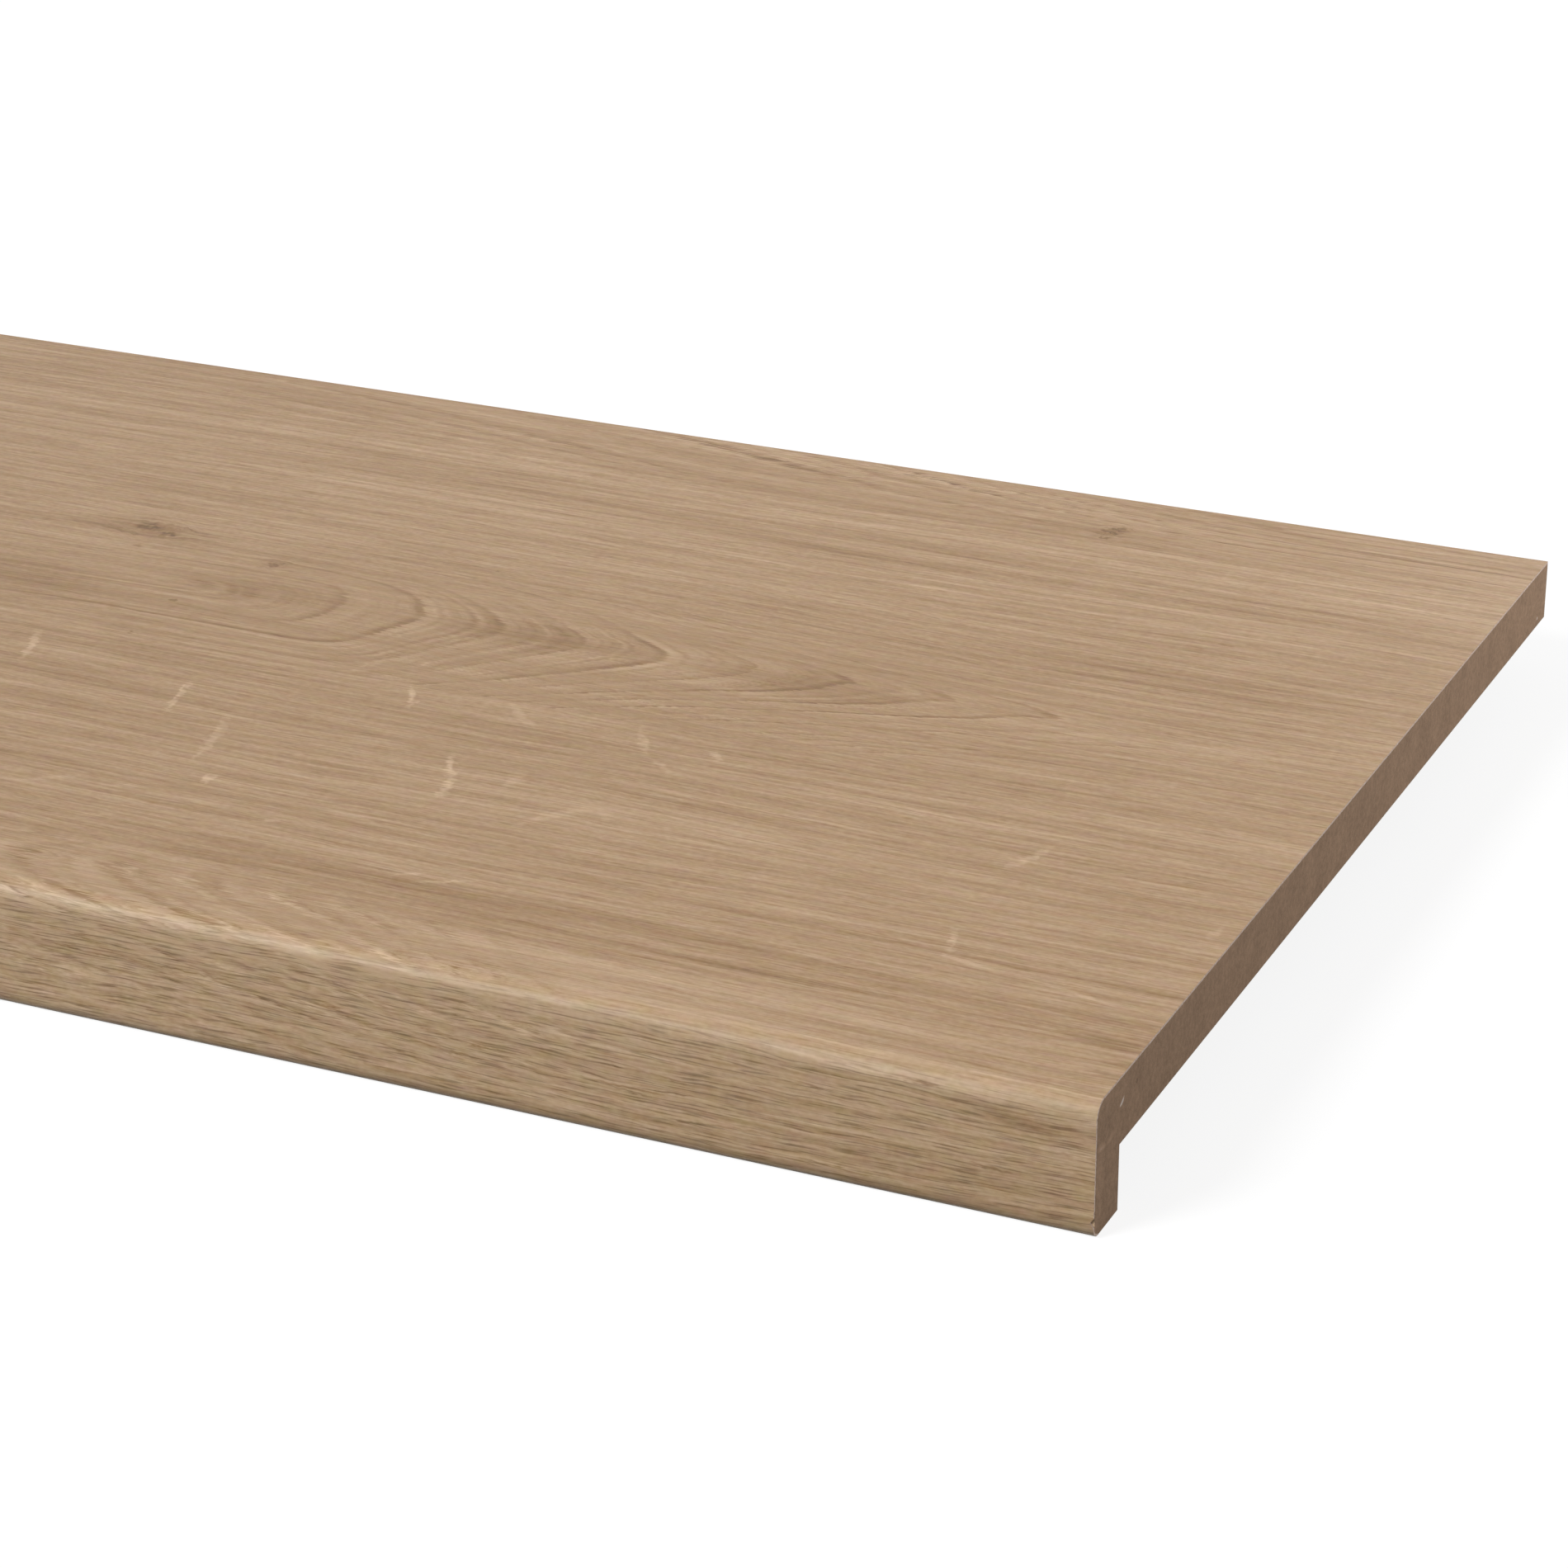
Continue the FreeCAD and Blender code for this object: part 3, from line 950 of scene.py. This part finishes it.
def sawn_laminate_edge():
    """The sheet's cut edge: resin and pale paper, broken white by the saw's teeth, with a
    painted highlight where the saw's burr catches the light, in bits of about 0.7 mm."""
    material = bpy.data.materials.new("sawn_laminate_edge")
    material.use_nodes = True
    tree = material.node_tree
    tree.nodes.clear()
    place = add(tree, "ShaderNodeTexCoord").outputs["Object"]
    breaks_and_painted_glint = add(tree, "ShaderNodeTexNoise", {"Vector": place, "Scale": 1.5 / mm, "Detail": 2})
    ramp = add(tree, "ShaderNodeValToRGB", {0: breaks_and_painted_glint})
    ramp.color_ramp.elements[0].position = 0.35
    ramp.color_ramp.elements[0].color = linear("#DCBBA6")
    ramp.color_ramp.elements[1].position = 0.65
    ramp.color_ramp.elements[1].color = linear("#FFEADB")
    surface = add(tree, "ShaderNodeBsdfPrincipled", {"Base Color": ramp.outputs[0], "Roughness": 0.7})
    add(tree, "ShaderNodeOutputMaterial", {"Surface": surface})
    return material


section = [
    (0, sheet_low[1] + lower_bend, sheet_low[2]),
    (0, sheet_low[1], sheet_low[2]),
    (0, sheet_low[1], sheet_high[2]),
    (0, sheet_high[1], sheet_high[2]),
]
cut_edge = sawn_laminate_edge()
path_mesh = bpy.data.meshes.new("laminate_path")
path_mesh.from_pydata(section, [(0, 1), (1, 2), (2, 3)], [])
laminate = bpy.data.objects.new("oak_laminate_sheet", path_mesh)
bpy.context.scene.collection.objects.link(laminate)
sheet_tree = wrapped_sheet()
wrap = laminate.modifiers.new("wrap", "NODES")
wrap.node_group = sheet_tree
sheet_inputs = {
    "Length": 2 * half_length,
    "Thickness": sheet_thickness,
    "Top bend": top_bend,
    "Lower bend": lower_bend,
    "End strip": end_strip,
    "Chip depth": saw_chip_depth,
    "Chip width": saw_chip_width,
    "Corner chip depth": corner_chip_depth,
    "Corner chip width": corner_chip_width,
    "Corner chip place": corner_chip_place,
    "Bend steps": bend_steps,
    "Rows": sheet_rows,
    "Cut edge": cut_edge,
}
for name, value in sheet_inputs.items():
    wrap[sheet_tree.interface.items_tree[name].identifier] = value
finished = bpy.data.meshes.new_from_object(laminate.evaluated_get(bpy.context.evaluated_depsgraph_get()))
laminate.modifiers.remove(wrap)
laminate.data = finished

# Where each face lies on the flat print: the printed side in one wide band, and under
# it in narrow bands the glued side, the two ends' edges and the two long edges. Each
# band is given by where it starts
glued_band = 0.002
glued_band_height = 0.028
end_band = 0.034
long_edge_band = 0.042
rear_edge_further = 0.006
edge_band_height = 0.004
finished.name = "oak_laminate_sheet"
finished.materials.clear()
for material in [cut_edge] + [look for _, look in staves]:
    finished.materials.append(material)
flat_map = finished.uv_layers.new(name="OFBake")
along = [item.value / (2 * half_length) + 0.5 for item in finished.attributes["along"].data]
run = [item.value for item in finished.attributes["run"].data]
depth = [item.value for item in finished.attributes["depth"].data]
printed = [item.value for item in finished.attributes["printed"].data]
for face in finished.polygons:
    across = sum(run[v] for v in face.vertices) / 4 * sheet_width_in_mm - below_bend_in_mm
    staves_before = sum(across > stave_end for stave_end, _ in staves)
    face.material_index = 1 + staves_before if printed[face.index] else 0
    for corner in face.loop_indices:
        vertex = finished.loops[corner].vertex_index
        if printed[face.index]:
            place = (along[vertex], 1 - print_band + print_band * run[vertex])
        elif abs(face.normal.x) > 0.5:
            half = 0.5 * (face.normal.x > 0)
            place = (0.02 + 0.45 * run[vertex] + half, end_band + edge_band_height * depth[vertex])
        elif len({round(run[v], 6) for v in face.vertices}) > 1:
            place = (along[vertex], glued_band + glued_band_height * run[vertex])
        else:
            band = long_edge_band + rear_edge_further * (run[vertex] > 0.5)
            place = (along[vertex], band + edge_band_height * depth[vertex])
        flat_map.data[corner].uv = place
for name in ("along", "run", "depth", "printed"):
    finished.attributes.remove(finished.attributes[name])
finished.shade_smooth()
finished.set_sharp_from_angle(angle=sharp_from)
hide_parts("decor_laminate")
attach(laminate, "root")


# The floor and the light: a plain pale floor, a soft key light above the front and from
# the left, a softbox off the rear right corner, a larger one behind the board, and even
# light from all round. The camera sees the floor and all behind it as white, and the
# floor keeps a faint shadow.
room_light = 0.31


def seen_or_mirrored(tree):
    """1 for what is seen, directly or in a shiny or clear surface, and 0 for its light."""
    ray = add(tree, "ShaderNodeLightPath").outputs
    camera_or_gloss = add(
        tree, "ShaderNodeMath", {0: ray["Is Camera Ray"], 1: ray["Is Glossy Ray"]}, operation="MAXIMUM"
    )
    return add(
        tree, "ShaderNodeMath", {0: camera_or_gloss, 1: ray["Is Transmission Ray"]},
        operation="MAXIMUM",
    )


world = bpy.data.worlds.new("studio")
world.use_nodes = True
tree = world.node_tree
tree.nodes.clear()
seen = seen_or_mirrored(tree)
level = add(tree, "ShaderNodeMapRange", {0: seen, 1: 0, 2: 1, 3: room_light, 4: 1})
sky = add(tree, "ShaderNodeBackground", {"Color": (1, 1, 1, 1), "Strength": level})
add(tree, "ShaderNodeOutputWorld", {"Surface": sky})
bpy.context.scene.world = world

key = bpy.data.lights.new("key", "SUN")
key.energy = 3.07
key.angle = math.radians(25)
key_direction = Vector((0.49, 0.65, -0.585))
key_object = bpy.data.objects.new("key", key)
key_object.rotation_mode = "QUATERNION"
key_object.rotation_quaternion = key_direction.to_track_quat("-Z", "Y")
bpy.context.scene.collection.objects.link(key_object)

# The two softboxes: strength, size, place, and how far from the end they are aimed
for name, energy, size, place, from_end in (
    ("softbox", 1.75, 0.4, Vector((1.45, 0.6, 0.22)), 0.1),
    ("rim", 1.5, 0.6, Vector((0.925, 1.585, 0.54)), 0.05),
):
    aim = Vector((half_length - from_end, sheet_high[1] - 0.1, 0))
    softbox = bpy.data.lights.new(name, "AREA")
    softbox.energy = energy
    softbox.size = size
    softbox_object = bpy.data.objects.new(name, softbox)
    softbox_object.location = place
    softbox_object.rotation_mode = "QUATERNION"
    softbox_object.rotation_quaternion = (aim - place).to_track_quat("-Z", "Y")
    bpy.context.scene.collection.objects.link(softbox_object)

floor_size = 30
floor_corners = [(-floor_size, -floor_size, 0), (floor_size, -floor_size, 0)]
floor_corners += [(floor_size, floor_size, 0), (-floor_size, floor_size, 0)]
floor_mesh = bpy.data.meshes.new("floor")
floor_mesh.from_pydata(floor_corners, [], [(0, 1, 2, 3)])
floor = bpy.data.objects.new("floor", floor_mesh)
bpy.context.scene.collection.objects.link(floor)
floor_material = bpy.data.materials.new("pale_floor")
floor_material.use_nodes = True
tree = floor_material.node_tree
tree.nodes.clear()
seen = seen_or_mirrored(tree)
matt = add(tree, "ShaderNodeBsdfDiffuse", {"Color": (0.2, 0.2, 0.2, 1)})
faint = add(tree, "ShaderNodeBsdfDiffuse", {"Color": (0.18, 0.18, 0.18, 1)})
glow = add(tree, "ShaderNodeEmission", {"Color": (1, 1, 1, 1), "Strength": 0.87})
pale = add(tree, "ShaderNodeAddShader", {0: faint, 1: glow})
shown = add(tree, "ShaderNodeMixShader", {0: seen, 1: matt, 2: pale})
add(tree, "ShaderNodeOutputMaterial", {"Surface": shown})
floor_mesh.materials.append(floor_material)
